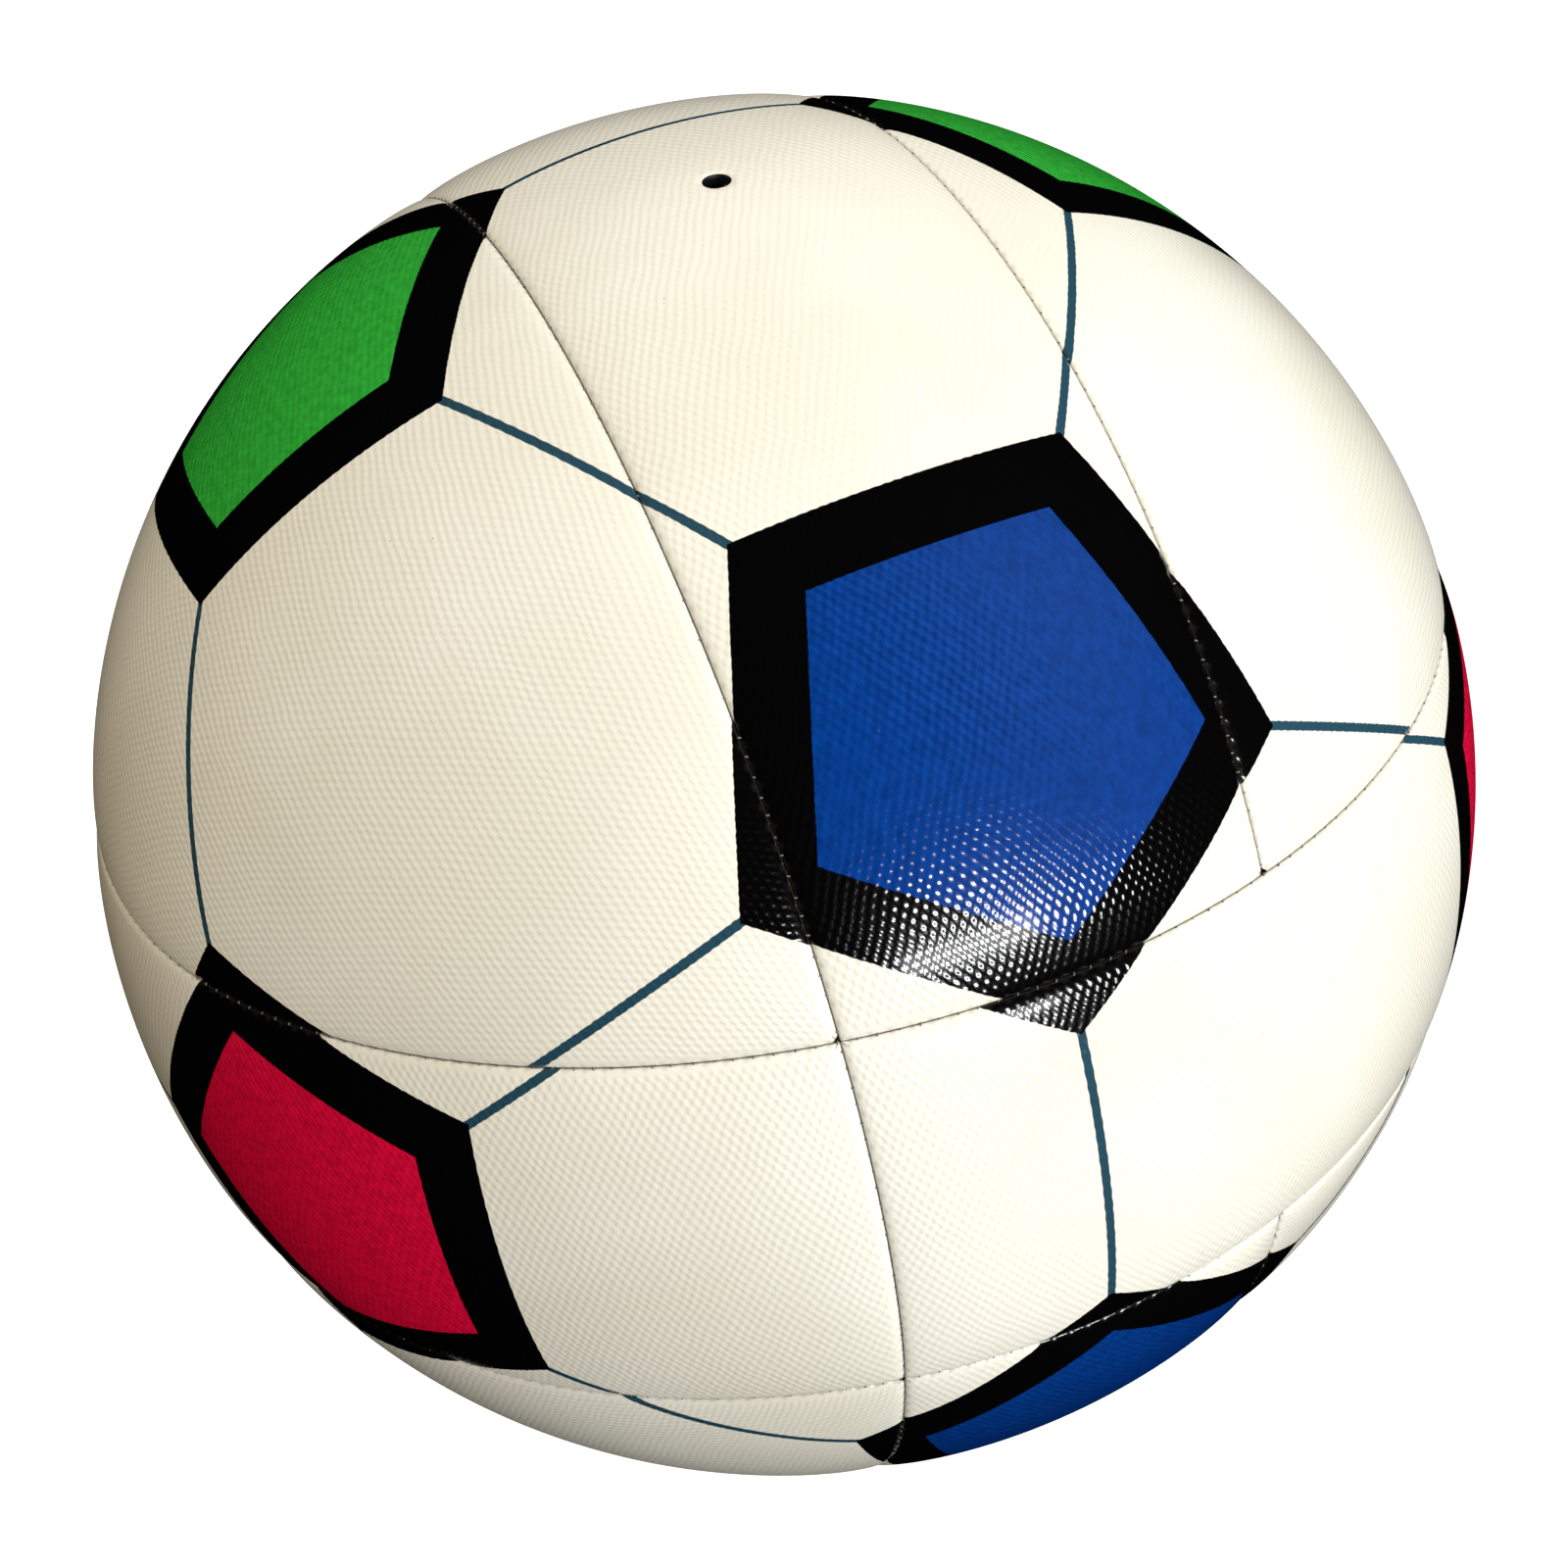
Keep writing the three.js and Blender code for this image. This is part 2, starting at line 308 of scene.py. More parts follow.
HOLE_RING = 4                        # grid cells from the hole's centre to its rim
HOLE_BLEND = 10                      # grid cells over which the grid bends round the hole
HOLE_LIP = ((0.25, 0.0), (0.08, 0.1), (0.0, 0.35), (0.0, 1.0))   # out from the hole, and down
COVER_SLOT, BACKING_SLOT, RUBBER_SLOT = 0, 1, 2


def grid_rows(lines, first):
    """Numbers for the vertices of a grid's rows, counted from first."""
    ends = first + np.cumsum([0] + [len(line) for line in lines])
    return [list(range(start, end)) for start, end in zip(ends, ends[1:])]


def grid_places(direction_at, lines, heights):
    """The directions and sheet places of a grid's vertices."""
    along = [np.full(len(line), height) for line, height in zip(lines, heights)]
    return direction_at(np.concatenate(lines), np.concatenate(along))


def layer(directions, sheet, sink):
    return {"directions": directions, "sheet": np.stack(sheet, -1),
            "sink": np.zeros(len(directions)) + sink}


def bend_round_hole(directions, sheet, heights, half_length, width):
    """Bends the grid round the valve's hole. Gives each vertex's distance in cells from the hole's
    centre, and its angle round it."""
    row = int(np.argmin(np.abs(np.array(heights) * half_length + VALVE_TILT * BALL_RADIUS)))
    index = np.arange(len(directions))
    across, up = index % width - width // 2, index // width - row
    ring = np.maximum(np.abs(across), np.abs(up))
    bend = np.clip((HOLE_BLEND - ring) / (HOLE_BLEND - HOLE_RING), 0, 1)
    out = HOLE_RADIUS + HOLE_LIP[0][0] + (ring - HOLE_RING) * GRID_STEP
    way = np.arctan2(up, across)
    x = (1 - bend) * across * GRID_STEP + bend * out * np.cos(way)
    y = (1 - bend) * up * GRID_STEP + bend * out * np.sin(way)
    near = (ring >= HOLE_RING) & (ring < HOLE_BLEND)
    bent, bent_sheet = cap_direction(x / BALL_RADIUS, y / BALL_RADIUS - VALVE_TILT)
    directions[near] = bent[near]
    for flat, bent_flat in zip(sheet, bent_sheet):
        flat[near] = bent_flat[near]
    return ring, way


def panel_mesh(shape, with_hole):
    """Directions, sheet places, drops below the surface, faces and face materials of one panel."""
    direction_at, half_width, half_length = SHAPES[shape]
    faces, slots = [], []

    def add(new_faces, slot):
        faces.extend(new_faces)
        slots.extend([slot] * len(new_faces))

    # The outer side.
    heights = list(fine_lines(half_length))
    lines = [fine_lines(half_width(v)) for v in heights]
    rows = grid_rows(lines, 0)
    directions, sheet = grid_places(direction_at, lines, heights)
    cells = []
    for i in range(len(rows) - 1):
        cells += bridge(rows[i], lines[i], rows[i + 1], lines[i + 1])
    hole_ring, hole_places = [], []
    if with_hole:
        ring, way = bend_round_hole(directions, sheet, heights, half_length, len(lines[0]))
        cells = [cell for cell in cells if max(ring[k] for k in cell) > HOLE_RING]
        hole_ring = sorted(np.flatnonzero(ring == HOLE_RING).tolist(), key=lambda k: way[k])
        hole_places = [float(way[k]) for k in hole_ring]
    add(cells, COVER_SLOT)
    sink, _, _ = seam_fields(directions)
    parts = [layer(directions, sheet, sink)]
    total = len(directions)

    # The cut edge, down to where the backing starts.
    rim, rim_places = outline_of(rows, lines, heights)
    edge_ring = list(range(total, total + len(rim)))
    parts.append(layer(directions[rim], [flat[rim] for flat in sheet], sink[rim] + EDGE_THICKNESS))
    total += len(rim)
    add(bridge_rings(rim, rim_places, edge_ring, rim_places, 4), COVER_SLOT)

    # The hole's rounded lip, in the cover, and its wall, in the valve's rubber.
    if with_hole:
        for k, (out, down) in enumerate(HOLE_LIP[1:] + ((0.0, COVER_THICKNESS),)):
            radius = HOLE_RADIUS + out
            x = radius * np.cos(hole_places) / BALL_RADIUS
            y = radius * np.sin(hole_places) / BALL_RADIUS
            parts.append(layer(*cap_direction(x, y - VALVE_TILT), down))
            next_ring = list(range(total, total + len(hole_ring)))
            total += len(hole_ring)
            add(bridge_rings(hole_ring, hole_places, next_ring, hole_places, 2 * math.pi),
                COVER_SLOT if k == 0 else RUBBER_SLOT)
            hole_ring = next_ring

    # The backing. One of its cells lies under the hole, and is joined to it instead.
    centre = -VALVE_TILT * BALL_RADIUS if shape == "middle" else 0
    back_heights = list(back_lines(half_length, centre))
    back_grid = [back_lines(half_width(height)) for height in back_heights]
    back_rows = grid_rows(back_grid, total)
    parts.append(layer(*grid_places(direction_at, back_grid, back_heights), COVER_THICKNESS))
    for i in range(len(back_rows) - 1):
        cells = bridge(back_rows[i], back_grid[i], back_rows[i + 1], back_grid[i + 1])
        low, high = back_heights[i] * half_length, back_heights[i + 1] * half_length
        if with_hole and low < centre < high:
            cell = cells.pop(len(cells) // 2)
            corners = [share * math.pi for share in (-0.75, -0.25, 0.25, 0.75)]
            add(bridge_rings(hole_ring, hole_places, list(cell), corners, 2 * math.pi),
                BACKING_SLOT)
        add(cells, BACKING_SLOT)
    back_rim, back_places = outline_of(back_rows, back_grid, back_heights)
    add(bridge_rings(edge_ring, rim_places, back_rim, back_places, 4), BACKING_SLOT)

    joined = {key: np.concatenate([part[key] for part in parts]) for key in parts[0]}
    return joined, faces, slots


# ---- The print ----
# The common pattern of a football: twelve pentagons round the corners of an icosahedron, and a thin
# line from each pentagon to its neighbours. The corners are (1, 0, GOLDEN) with any signs and with
# its numbers turned round in order, so one eighth of the ball holds the pattern and mirrors do the
# rest.
GOLDEN = (1 + math.sqrt(5)) / 2
PENTAGON_MIDDLE = np.array([1, 0, GOLDEN])
# The neighbours whose sides of the pentagon reach into that eighth, in their order round it.
NEIGHBOURS = np.array([(-1, 0, GOLDEN), (0, GOLDEN, 1), (GOLDEN, 1, 0), (GOLDEN, -1, 0)])
CORNER_SHARE = 1 / 3                 # of the way from a pentagon's middle to its neighbour's
RIM_WIDTH = 9.0                      # of the black border of a pentagon
LINE_WIDTH = 1.2
INK_BLUR = 0.06                      # to each side of an ink's edge
INK_WAVER = 0.045                    # how far the grain moves an ink's edge
PRINT_SLIP = 0.5                     # degrees that a panel's print may be out of place


def unit(vector):
    return vector / np.linalg.norm(vector)


def pentagon_sides():
    """The planes through the ball's centre and the pentagon's sides, that face its middle."""
    corners = PENTAGON_MIDDLE + (NEIGHBOURS - PENTAGON_MIDDLE) * CORNER_SHARE
    planes = [unit(np.cross(a, b)) for a, b in zip(corners, corners[1:])]
    return [plane * np.sign(plane @ PENTAGON_MIDDLE) for plane in planes]


def printed_place(directions, slip):
    """Directions in the print's own frame, for a print that slipped by so many degrees."""
    turn = Matrix.Rotation(np.radians(np.linalg.norm(slip)), 3, Vector(slip).normalized())
    return directions @ np.array(turn)


# ---- Materials ----
class Finish:
    """A procedural material, and short ways to add nodes to it."""

    def __init__(self, name, **sockets):
        self.material = bpy.data.materials.new(name)
        self.material.use_nodes = True
        self.tree = self.material.node_tree
        self.shader = self.tree.nodes["Principled BSDF"]
        for socket, value in sockets.items():
            self.shader.inputs[socket.replace("_", " ")].default_value = value

    def node(self, kind, inputs=(), **settings):
        made = self.tree.nodes.new("ShaderNode" + kind)
        for key, value in settings.items():
            setattr(made, key, value)
        for k, value in enumerate(inputs):
            self.feed(made.inputs[k], value)
        return made

    def feed(self, socket, value):
        if isinstance(value, bpy.types.NodeSocket):
            self.tree.links.new(value, socket)
        elif value is not None:
            socket.default_value = value

    def math(self, operation, *inputs, clamp=False):
        made = self.node("Math", inputs, operation=operation, use_clamp=clamp)
        return made.outputs[0]

    def add(self, a, b):
        return self.math("ADD", a, b)

    def times(self, a, b):
        return self.math("MULTIPLY", a, b)

    def step(self, value, low, high, start=0.0, end=1.0):
        """start below low, end above high, and a smooth change between them."""
        made = self.node("MapRange", interpolation_type="SMOOTHSTEP")
        for socket, number in (("Value", value), ("From Min", low), ("From Max", high),
                               ("To Min", start), ("To Max", end)):
            self.feed(made.inputs[socket], number)
        return made.outputs[0]

    def mix(self, share, a, b, blend="MIX"):
        made = self.node("Mix", data_type="RGBA", blend_type=blend)
        self.feed(made.inputs[0], share)
        for k, colour in ((6, a), (7, b)):
            if isinstance(colour, tuple):
                colour = (*colour, 1.0)
            self.feed(made.inputs[k], colour)
        return made.outputs[2]

    def along(self, where, direction):
        """How far a place on the ball lies along a direction, in millimetres."""
        made = self.node("VectorMath", [where, tuple(direction)], operation="DOT_PRODUCT")
        return self.times(made.outputs["Value"], BALL_RADIUS)

    def numbers(self, name):
        """The three numbers stored on the mesh under that name."""
        found = self.node("Attribute", attribute_name=name)
        split = self.node("SeparateXYZ", [found.outputs["Vector"]])
        return split.outputs[0], split.outputs[1], split.outputs[2]

    def stored(self, name):
        return self.node("Attribute", attribute_name=name).outputs["Vector"]

    def place(self):
        """The point's place on the object, in metres."""
        return self.node("TexCoord").outputs["Object"]

    def noise(self, where, scale, detail=2.0, roughness=0.5):
        made = self.node("TexNoise")
        self.feed(made.inputs["Vector"], where)
        self.feed(made.inputs["Scale"], scale)
        self.feed(made.inputs["Detail"], detail)
        self.feed(made.inputs["Roughness"], roughness)
        return made.outputs["Fac"]

    def cells(self, where, scale, feature="F1"):
        made = self.node("TexVoronoi", feature=feature)
        self.feed(made.inputs["Vector"], where)
        self.feed(made.inputs["Scale"], scale)
        return made.outputs["Distance"]

    def wave(self, value, period, phase=0.0):
        return self.math("COSINE", self.math("MULTIPLY_ADD", value, 2 * math.pi / period, phase))

    def finish(self, colour=None, roughness=None, height_mm=None):
        if colour is not None:
            self.feed(self.shader.inputs["Base Color"], colour)
        if roughness is not None:
            self.feed(self.shader.inputs["Roughness"], roughness)
        if height_mm is not None:
            bump = self.node("Bump")
            self.feed(bump.inputs["Distance"], MM)
            self.feed(bump.inputs["Height"], height_mm)
            self.feed(self.shader.inputs["Normal"], bump.outputs[0])
        return self.material


COVER_WHITE = (0.80, 0.775, 0.675)
COVER_SHADE = (0.71, 0.675, 0.56)
BLACK_INK = (0.0011, 0.0011, 0.0012)
STEEL_INK = (0.016, 0.055, 0.082)
# The inks of the pentagons nearest to the Z, X and Y axes.
PENTAGON_INKS = ((0.03, 0.4, 0.04), (0.72, 0.004, 0.045), (0.0015, 0.036, 0.215))
GRAIN_PERIOD = 1.35
GRAIN_ROWS = 2.25
GRAIN_SLANT = 0.1
GRAIN_HEIGHT = 0.06


def printed_over(f, colour, worn, waver):
    """The lines and then the pentagons, printed over a colour."""
    eighth = f.node("VectorMath", [f.stored("print")], operation="ABSOLUTE").outputs["Vector"]
    for turn in range(len(PENTAGON_INKS)):
        middle = np.roll(PENTAGON_MIDDLE, turn)
        # The line to the next pentagon of another colour.
        off_line = f.along(eighth, unit(np.cross(middle, np.roll(middle, 1))))
        off_line = f.math("ABSOLUTE", off_line)
        # The line to the next pentagon of the same colour lies on the edge of the eighth.
        off_edge = f.along(eighth, np.roll((0, 1, 0), turn))
        beyond = f.along(eighth, np.roll((1, 0, -1 / GOLDEN), turn))
        off_edge = f.math("MAXIMUM", off_edge, beyond)
        off = f.add(f.math("MINIMUM", off_line, off_edge), waver)
        half = LINE_WIDTH / 2
        printed = f.step(off, half - INK_BLUR, half + INK_BLUR, 1.0, 0.0)
        colour = f.mix(printed, colour, STEEL_INK)
    for turn, ink in enumerate(PENTAGON_INKS):
        first, second, third = (f.along(eighth, np.roll(side, turn)) for side in pentagon_sides())
        inside = f.math("MINIMUM", f.math("MINIMUM", first, second), third)
        inside = f.add(inside, waver)
        colour = f.mix(f.step(inside, -INK_BLUR, INK_BLUR), colour, BLACK_INK)
        in_middle = f.step(inside, RIM_WIDTH - INK_BLUR, RIM_WIDTH + INK_BLUR)
        colour = f.mix(in_middle, colour, f.mix(worn, ink, (0, 0, 0)))
    return colour


def cover_finish():
    """Coated synthetic leather: an embossed grain with painted shade in its valleys, the printed
    pentagons and lines, and needle-pricked edges that are darker at the seams, from dirt and from
    painted shade in the grooves and needle holes."""
    f = Finish("printed_cover", IOR=1.5, Coat_Weight=0.1, Coat_Roughness=0.1)
    x, y, away = f.numbers("sheet")
    drift_x = f.times(f.add(f.noise(f.stored("sheet"), 0.11, 1.0), -0.5), 1.2)
    drift_y = f.times(f.add(f.noise(f.stored("sheet"), 0.13, 1.0), -0.5), 1.2)
    gx = f.add(f.add(x, f.times(y, GRAIN_SLANT)), drift_x)
    gy = f.add(y, drift_y)
    lattice = f.times(f.wave(gx, GRAIN_PERIOD), f.wave(gy, GRAIN_ROWS))
    bumps = f.step(lattice, -1, 1)
    flat_edge = f.step(away, 0.5, 1.6)
    fine = f.noise(f.stored("sheet"), 3.2, 3.0)

    # The print's edges waver a little, because the ink goes down on the grain.
    waver = f.times(f.add(lattice, f.add(fine, -0.5)), INK_WAVER)

    cloudy = f.noise(f.place(), 22.0, 3.0)
    white = f.mix(f.step(cloudy, 0.3, 0.75), COVER_WHITE, COVER_SHADE)
    # Painted shade: the colour is darker in the valleys of the grain, where shade falls.
    white = f.mix(f.times(f.math("SUBTRACT", 1.0, bumps), 0.22), white, COVER_SHADE)
    worn = f.step(f.noise(f.stored("sheet"), 0.6, 3.0), 0.25, 0.8, 0.0, 0.3)
    colour = printed_over(f, white, worn, waver)

    stitch, _, _ = f.numbers("stitch")
    prick = f.math("ABSOLUTE", f.add(f.math("FRACT", stitch), -0.5))   # 0.5 at a stitch
    pulled = f.times(f.step(prick, 0.2, 0.48), f.step(away, 0.15, 0.9, 1.0, 0.0))
    # Darker at the seams: dirt in the grooves, and painted shade in the grooves and in the needle
    # holes.
    seam_dirt_and_shade = f.step(f.add(away, f.times(f.add(fine, -0.5), 0.3)), 0.05, 0.35, 0.28, 0.0)
    seam_dirt_and_shade = f.math("MAXIMUM", seam_dirt_and_shade, f.times(pulled, 0.14))
    speck = f.step(f.cells(f.stored("sheet"), 0.11), 0.012, 0.022, 0.5, 0.0)
    # One dark colour for the seams' dirt and their painted shade.
    colour = f.mix(seam_dirt_and_shade, colour, (0.06, 0.05, 0.04))
    colour = f.mix(speck, colour, (0.12, 0.10, 0.08))

    roughness = f.add(f.step(cloudy, 0.2, 0.8, 0.13, 0.18), f.times(seam_dirt_and_shade, 0.3))
    roughness = f.add(roughness, f.times(f.add(fine, -0.5), 0.05))
    height = f.times(f.times(bumps, flat_edge), GRAIN_HEIGHT)
    height = f.add(height, f.times(fine, 0.004))
    height = f.add(height, f.times(pulled, -0.1))
    return f.finish(colour, roughness, height)


def backing_finish():
    """The knitted backing on the inner side of the cover."""
    f = Finish("cover_backing", Sheen_Weight=0.3)
    x, y, _ = f.numbers("sheet")
    knit = f.times(f.wave(x, 0.9), f.wave(y, 0.7))
    mottle = f.noise(f.stored("sheet"), 0.3, 3.0)
    colour = f.mix(f.step(knit, -0.8, 0.8), (0.55, 0.53, 0.48), (0.72, 0.70, 0.65))
    colour = f.mix(f.step(mottle, 0.4, 0.8, 0.0, 0.3), colour, (0.5, 0.46, 0.38))
    return f.finish(colour, f.step(mottle, 0.2, 0.8, 0.8, 0.95), f.times(knit, 0.06))


def thread_finish():
    """Waxed polyester thread, twisted from three plies."""
    f = Finish("waxed_thread", Sheen_Weight=0.2)
    place = f.place()
    split = f.node("SeparateXYZ", [place])
    lean = f.add(f.add(split.outputs[0], split.outputs[1]), split.outputs[2])
    ply = f.wave(f.times(lean, 1 / MM), 0.45)
    mottle = f.noise(place, 900.0, 2.0)
    colour = f.mix(f.step(ply, -1, 1), (0.10, 0.094, 0.082), (0.24, 0.225, 0.20))
    colour = f.mix(f.step(mottle, 0.45, 0.8, 0.0, 0.5), colour, (0.10, 0.09, 0.075))
    return f.finish(colour, f.step(mottle, 0.2, 0.8, 0.45, 0.7), f.times(ply, 0.03))


def foam_finish():
    f = Finish("closed_cell_foam")
    place = f.place()
    cell = f.cells(place, 1400.0)
    mottle = f.noise(place, 60.0, 3.0)
    colour = f.mix(f.step(cell, 0.1, 0.6), (0.78, 0.72, 0.54), (0.66, 0.59, 0.42))
    colour = f.mix(f.step(mottle, 0.4, 0.75, 0.0, 0.4), colour, (0.60, 0.50, 0.32))
    return f.finish(colour, f.step(mottle, 0.2, 0.8, 0.8, 0.95), f.times(cell, -0.12))


def lining_finish():
    """Plain-woven cotton and polyester under a thin coat of latex."""
    f = Finish("woven_lining", Sheen_Weight=0.25)
    place = f.place()
    split = f.node("SeparateXYZ", [place])
    warp = f.wave(f.times(f.add(split.outputs[0], split.outputs[1]), 1 / MM), 0.9)
    weft = f.wave(f.times(f.math("SUBTRACT", split.outputs[2], split.outputs[1]), 1 / MM), 0.9)
    weave = f.math("MAXIMUM", warp, weft)
    mottle = f.noise(place, 45.0, 4.0)
    colour = f.mix(f.step(weave, -0.2, 1.0), (0.42, 0.42, 0.40), (0.68, 0.68, 0.66))
    colour = f.mix(f.step(mottle, 0.45, 0.75, 0.0, 0.5), colour, (0.62, 0.55, 0.40))
    return f.finish(colour, f.step(mottle, 0.2, 0.8, 0.7, 0.95), f.times(weave, 0.07))


def rubber_finish(name, light, dark, shine, grain=900.0, dust=0.3):
    """Moulded rubber with flow marks, a fine grain and a bloom of talc."""
    f = Finish(name)
    place = f.place()
    flow = f.noise(place, 70.0, 4.0)
    fine = f.noise(place, grain, 3.0)
    bloom = f.step(f.noise(place, 160.0, 5.0, 0.65), 0.5, 0.8, 0.0, dust)
    colour = f.mix(f.step(flow, 0.3, 0.7), dark, light)
    colour = f.mix(bloom, colour, (0.45, 0.44, 0.42))
    roughness = f.add(f.step(flow, 0.2, 0.8, shine, shine + 0.15), f.times(bloom, 0.5))
    return f.finish(colour, roughness, f.times(fine, 0.05))


cover = cover_finish()
backing = backing_finish()
thread = thread_finish()
foam = foam_finish()
lining = lining_finish()
bladder = rubber_finish("bladder_rubber", (0.030, 0.028, 0.027), (0.012, 0.011, 0.011), 0.38)
valve_rubber = rubber_finish("valve_rubber", (0.009, 0.009, 0.0095), (0.004, 0.004, 0.0045), 0.45,
                             dust=0.12)
core_rubber = rubber_finish("valve_core_rubber", (0.16, 0.16, 0.17), (0.09, 0.09, 0.10), 0.4)
patch_rubber = rubber_finish("patch_rubber", (0.09, 0.095, 0.105), (0.045, 0.048, 0.055), 0.55,
                             dust=0.5)

# ---- The cover's ten panels ----
print_slips = np.random.default_rng(3)
meshes = {shape: panel_mesh(shape, False) for shape in SHAPES}
pierced = panel_mesh("middle", True)
for name, (shape, turn) in PANELS.items():
    shared, faces, face_materials = pierced if name == "top_middle" else meshes[shape]
    directions = shared["directions"] @ turn.T
    _, away, stitch = seam_fields(directions)
    points = directions * (BALL_RADIUS - shared["sink"])[:, None]
    panel = new_object(f"panel_{name}", points, faces, (cover, backing, valve_rubber),
                       face_materials)
    add_numbers(panel, "sheet", np.column_stack([shared["sheet"], away]))
    add_numbers(panel, "stitch", np.column_stack([stitch, away, away]))
    slip = print_slips.uniform(-PRINT_SLIP, PRINT_SLIP, 3)
    add_numbers(panel, "print", printed_place(directions, slip))
    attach(panel, "root")
    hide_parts(f"cover_{name}")

# ---- The thread in the seams ----
THREAD_SIDES = 8
THREAD_STEP = 2.5
# A stitch's outline: places along it from -1 to 1, and its thickness there.
CAPSULE = ((-1.0, 0.35), (-0.8, 0.85), (0.0, 1.0), (0.8, 0.85), (1.0, 0.35))
CAPSULE_SIDES = 6
rng = np.random.default_rng(7)


def tube_faces(rings, sides, closed):
    faces = []
    for i in range(rings if closed else rings - 1):
        for k in range(sides):
            a, b = i * sides, (i + 1) % rings * sides
            faces.append((a + k, a + (k + 1) % sides, b + (k + 1) % sides, b + k))
    if not closed:
        faces.append(tuple(range(sides))[::-1])
        faces.append(tuple(range((rings - 1) * sides, rings * sides)))
    return faces


def thread_points(seam, closed):
    """The thread that lies along the bottom of a seam."""
    radius = BALL_RADIUS - THREAD_DEPTH
    trim = 0 if closed else 1.4 / radius
    length = 2 * seam["half"] * SEAM_RING * radius
    count = int(length / THREAD_STEP)
    angles = np.linspace(-seam["half"] + trim, seam["half"] - trim, count, endpoint=not closed)
    middle = seam_points(seam, angles, radius)
    up = middle / radius
    ahead = seam_points(seam, angles + 0.01, radius) - middle
    ahead /= np.linalg.norm(ahead, axis=1)[:, None]
    across = np.cross(up, ahead)
    way = np.arange(THREAD_SIDES) * 2 * math.pi / THREAD_SIDES
    ring = np.cos(way)[:, None] * across[:, None] + np.sin(way)[:, None] * up[:, None]
    return (middle[:, None] + THREAD_RADIUS * ring).reshape(-1, 3), count


def stitch_points(seam):
    """Short stitches that bridge a seam just below the ball's surface."""
    found = []
    for n in range(seam["stitches"]):
        place = (n + 0.5 + rng.uniform(-0.08, 0.08)) / seam["stitches"]
        angle = (2 * place - 1) * seam["half"]
        depth = STITCH_DEPTH + rng.uniform(-0.1, 0.12)
        middle = seam_points(seam, [angle], BALL_RADIUS - depth)[0]
        up = middle / np.linalg.norm(middle)
        ahead = seam_points(seam, [angle + 0.01], BALL_RADIUS - depth)[0] - middle
        ahead /= np.linalg.norm(ahead)
        across = np.cross(up, ahead) + ahead * rng.uniform(0.05, 0.45)
        across /= np.linalg.norm(across)
        side = np.cross(across, up)
        for along, size in CAPSULE:
            bow = up * STITCH_RADIUS * (0.5 - along ** 2)
            for k in range(CAPSULE_SIDES):
                way = k * 2 * math.pi / CAPSULE_SIDES
                spoke = math.cos(way) * side + math.sin(way) * up
                found.append(middle + along * STITCH_REACH * across + bow
                             + STITCH_RADIUS * size * spoke)
    return np.array(found)


for name, seam in SEAMS.items():
    closed = seam["half"] == math.pi
    points, rings = thread_points(seam, closed)
    faces = tube_faces(rings, THREAD_SIDES, closed)
    stitches = stitch_points(seam)
    one = tube_faces(len(CAPSULE), CAPSULE_SIDES, False)
    size = len(CAPSULE) * CAPSULE_SIDES
    for n in range(seam["stitches"]):
        start = len(points) + n * size
        faces += [tuple(start + k for k in face) for face in one]
    sewn = new_object(f"seam_{name}", np.concatenate([points, stitches]), faces, (thread,))
    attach(sewn, "root")
    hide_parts(f"thread_{name}")

# ---- Parts that keep their CAD shape ----
LOOKS = {"foam": foam, "lining": lining, "bladder": bladder, "valve_stem": valve_rubber,
         "valve_core": core_rubber, "valve_patch": patch_rubber, "balance_patch": patch_rubber}
for name, node in nodes.items():
    for start, look in LOOKS.items():
        if name.startswith(start):
            node.data.materials.clear()
            node.data.materials.append(look)

# ---- Floor, lights and camera ----
FLOOR_SIZE = 40.0


def floor_finish():
    f = Finish("pale_floor", Emission_Color=(1, 1, 1, 1), Emission_Strength=1.0)
    mottle = f.noise(f.place(), 3.0, 4.0)
    colour = f.mix(f.step(mottle, 0.3, 0.7), (0.36, 0.36, 0.36), (0.40, 0.40, 0.40))
    return f.finish(colour, f.step(mottle, 0.2, 0.8, 0.6, 0.7))


floor_mesh = bpy.data.meshes.new("floor")
half_floor = FLOOR_SIZE / 2
floor_corners = [(x * half_floor, y * half_floor, cad_box[0][2])
                 for x, y in ((-1, -1), (1, -1), (1, 1), (-1, 1))]
floor_mesh.from_pydata(floor_corners, [], [(0, 1, 2, 3)])
floor_mesh.materials.append(floor_finish())
floor = bpy.data.objects.new("floor", floor_mesh)
bpy.context.scene.collection.objects.link(floor)
floor.visible_glossy = False
floor.visible_diffuse = False
floor.visible_shadow = False


def toward(azimuth, elevation):
    """A direction, with azimuth in degrees from the front (-Y) towards +X."""
    a, e = math.radians(azimuth), math.radians(elevation)
    return Vector((math.sin(a) * math.cos(e), -math.cos(a) * math.cos(e), math.sin(e)))


LAMP_DISTANCE = 1.6
LAMP_WIDTH = 1.2


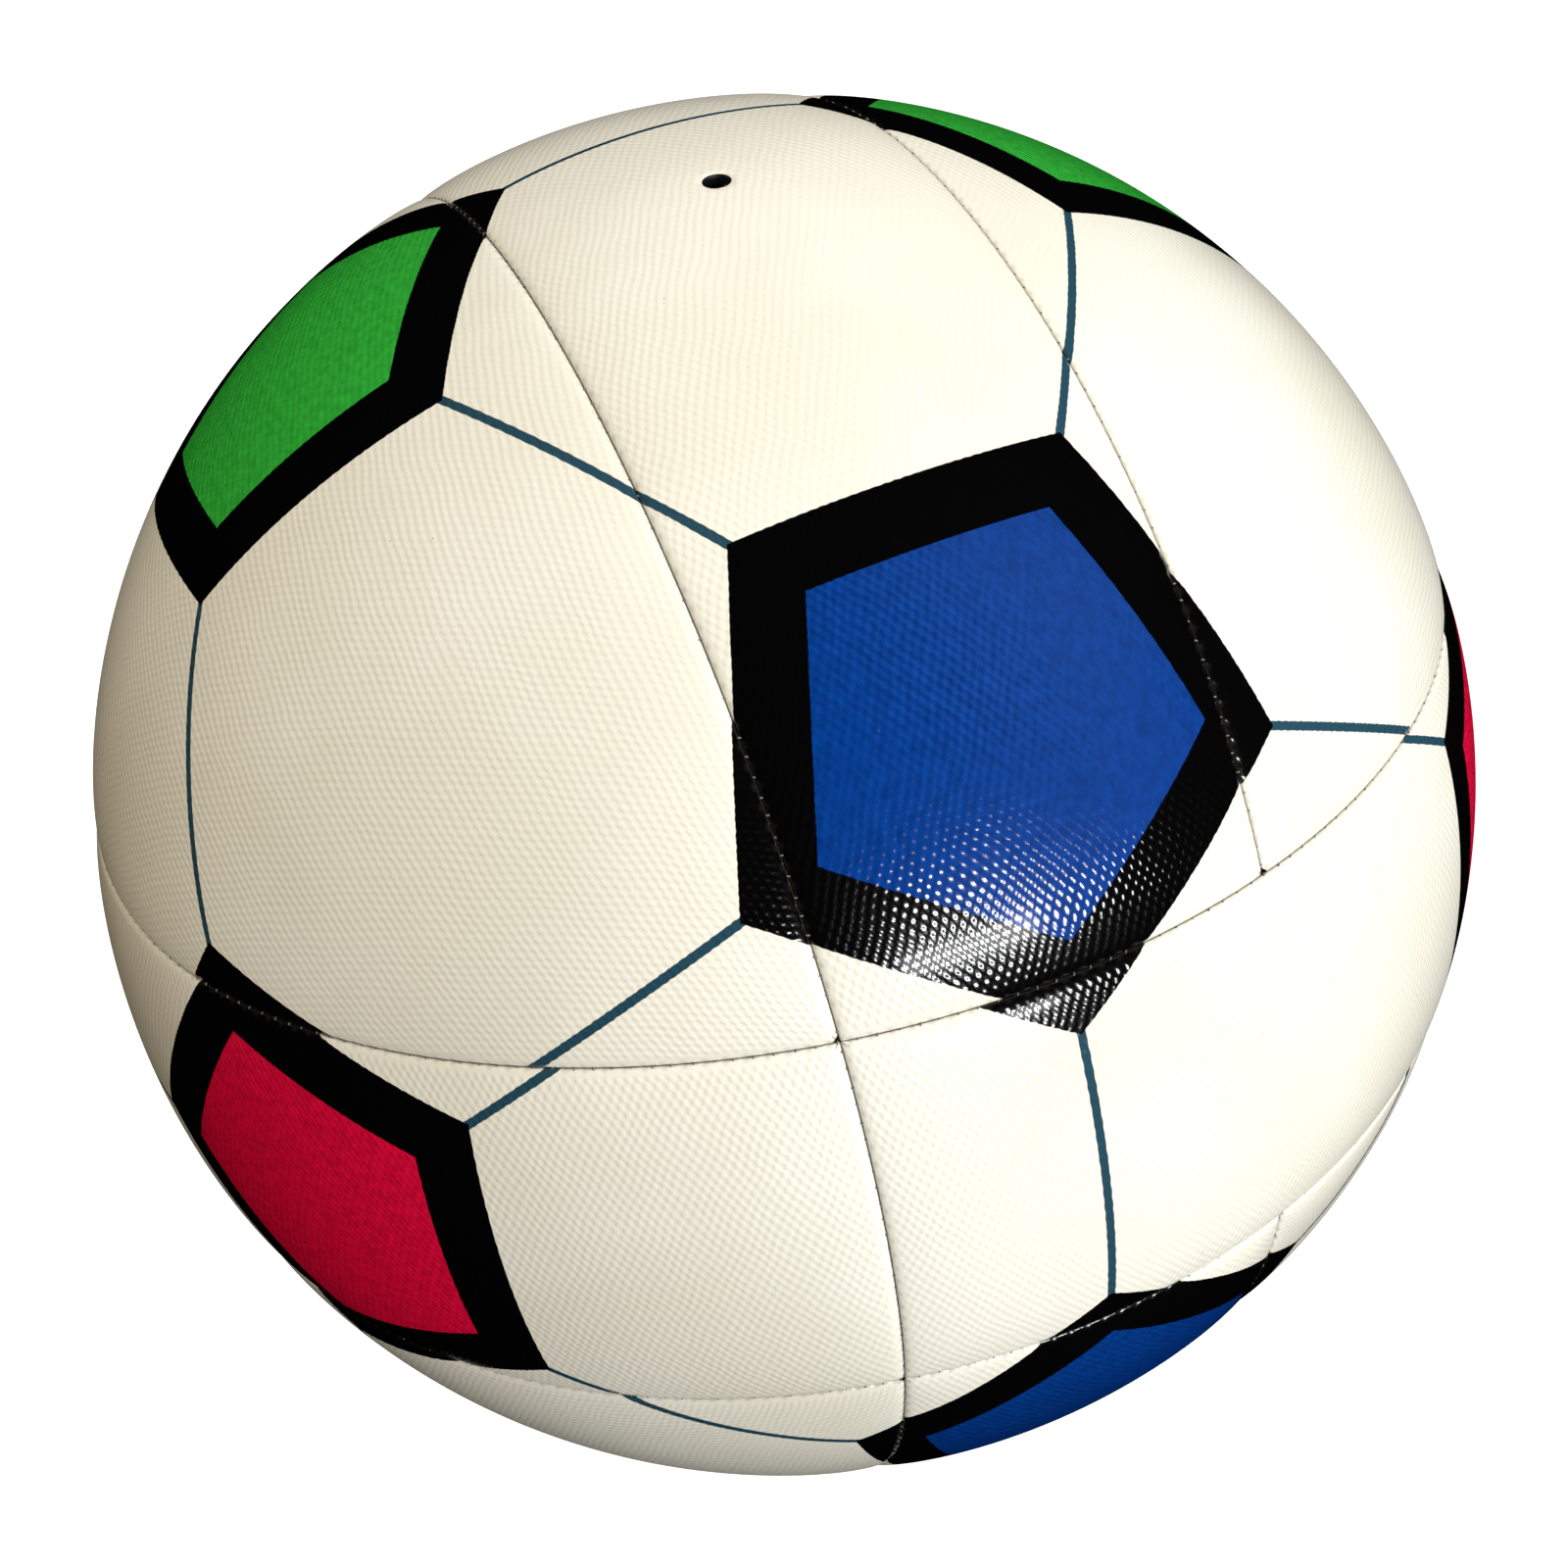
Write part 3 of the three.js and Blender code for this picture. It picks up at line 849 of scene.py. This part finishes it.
def soft_box(name, azimuth, elevation, watts, colour=(1, 1, 1), distance=LAMP_DISTANCE,
             width=LAMP_WIDTH, height=LAMP_WIDTH, mirrored=False):
    """A rectangular lamp that faces the ball. Only a mirrored one makes a highlight."""
    light = bpy.data.lights.new(name, "AREA")
    light.shape = "RECTANGLE"
    light.size = width
    light.size_y = height
    light.energy = watts
    light.color = colour
    lamp = bpy.data.objects.new(name, light)
    way = toward(azimuth, elevation)
    lamp.location = way * distance
    lamp.rotation_euler = (-way).to_track_quat("-Z", "Y").to_euler()
    lamp.visible_glossy = mirrored
    bpy.context.scene.collection.objects.link(lamp)


DAYLIGHT = (0.975, 0.985, 1)
soft_box("window", 4, 0, 10, distance=1.3, width=0.46, height=0.12, mirrored=True)
soft_box("key", 42, 14, 14, DAYLIGHT)
soft_box("key_high", 45, 45, 14, DAYLIGHT, width=1.0, height=1.0)
soft_box("right_low", 115, -20, 15, DAYLIGHT)
soft_box("front_low", 10, -45, 11)
soft_box("left_high", -90, 60, 9, (1, 0.88, 0.70))
soft_box("left_back", -115, 8, 8, (1, 0.85, 0.64))
soft_box("top_fill", 0, 88, 8)
soft_box("back_fill", 155, 30, 14)

world = bpy.data.worlds.new("studio")
world.use_nodes = True
world.node_tree.nodes["Background"].inputs["Color"].default_value = (1, 1, 1, 1)
world.node_tree.nodes["Background"].inputs["Strength"].default_value = 1.0
bpy.context.scene.world = world
world.cycles_visibility.diffuse = False
world.cycles_visibility.glossy = False

# The photo's viewing angle: from the ball to the camera, and the camera's right.
VIEW_WAY = Vector((-0.239, -0.8137, 0.5298)).normalized()
VIEW_RIGHT = Vector((0.9133, -0.3737, -0.1619)).normalized()
VIEW_RADII = 3.22                    # from the ball's centre to the camera
SILHOUETTE_SHARE = 706.1 / 800       # of half the frame
camera_data = bpy.data.cameras.new("camera")
camera = bpy.data.objects.new("camera", camera_data)
view_up = VIEW_WAY.cross(VIEW_RIGHT)
half_view = 1 / SILHOUETTE_SHARE / math.sqrt(VIEW_RADII ** 2 - 1)
camera_data.sensor_width = 36
camera_data.lens = 18 / half_view
camera_data.clip_start = 0.01
turn = Matrix((VIEW_RIGHT, view_up, VIEW_WAY)).transposed().to_4x4()
camera.matrix_world = Matrix.Translation(VIEW_WAY * VIEW_RADII * BALL_RADIUS * MM) @ turn
bpy.context.scene.collection.objects.link(camera)
bpy.context.scene.camera = camera
bpy.context.scene.view_settings.view_transform = "Standard"

# ---- Update the view layer ----
bpy.context.view_layer.update()
